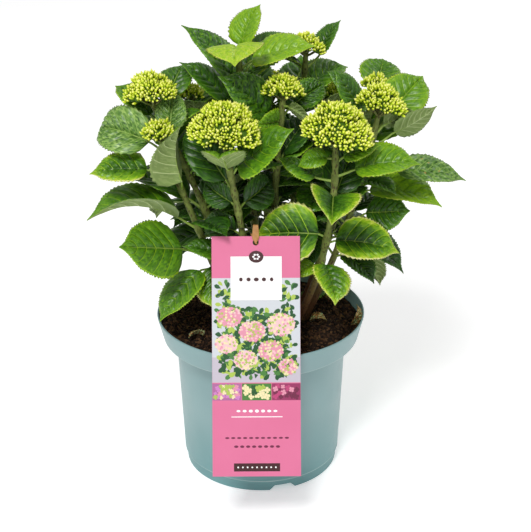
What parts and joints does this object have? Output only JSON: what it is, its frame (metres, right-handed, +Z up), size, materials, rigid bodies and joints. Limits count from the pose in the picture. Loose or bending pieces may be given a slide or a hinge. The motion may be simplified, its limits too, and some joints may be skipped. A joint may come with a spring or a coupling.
{
  "type": "potted hydrangea shrub",
  "caption": "Leafy hydrangea shrub in bud: a clump of upright stems with broad serrated leaves and domed bud heads, rooted in a filled round nursery pot with a planting card.",
  "frame": {"origin": "middle of the flat pad under the pot, where the pot stands", "axes": "+Z up; -Y towards the front of the plant, where the planting card leans; +X to the right seen from the front"},
  "size_m": [0.3999, 0.3553, 0.5139],
  "materials": {
    "pot_plastic": "satin grey-green moulded plastic",
    "soil": "dark moist potting soil with bark crumbs",
    "printed_card": "smooth printed card",
    "tie": "brown soft tie",
    "stem_bark": "green-brown young bark, woody and brown near the soil",
    "foliage": "veined leaves, green of many tones, with yellow-green buds"
  },
  "bodies": {
    "root": {"pot": "pot_plastic", "soil": "soil", "tag": "printed_card", "tag_tie": "tie", "stem_crest": "stem_bark", "stem_front_left": "stem_bark", "stem_front_right": "stem_bark", "stem_right": "stem_bark", "stem_left": "stem_bark", "stem_left_high": "stem_bark", "stem_centre": "stem_bark", "stem_back_right": "stem_bark", "stem_right_back": "stem_bark", "stem_back_left": "stem_bark", "stem_rear_left": "stem_bark", "stem_rear": "stem_bark", "stem_rear_right": "stem_bark", "stem_rear_low": "stem_bark", "foliage_crest": "foliage", "foliage_front_left": "foliage", "foliage_front_right": "foliage", "foliage_right": "foliage", "foliage_left": "foliage", "foliage_left_high": "foliage", "foliage_centre": "foliage", "foliage_back_right": "foliage", "foliage_right_back": "foliage", "foliage_back_left": "foliage", "foliage_rear_left": "foliage", "foliage_rear": "foliage", "foliage_rear_right": "foliage", "foliage_rear_low": "foliage"}
  },
  "joints": []
}
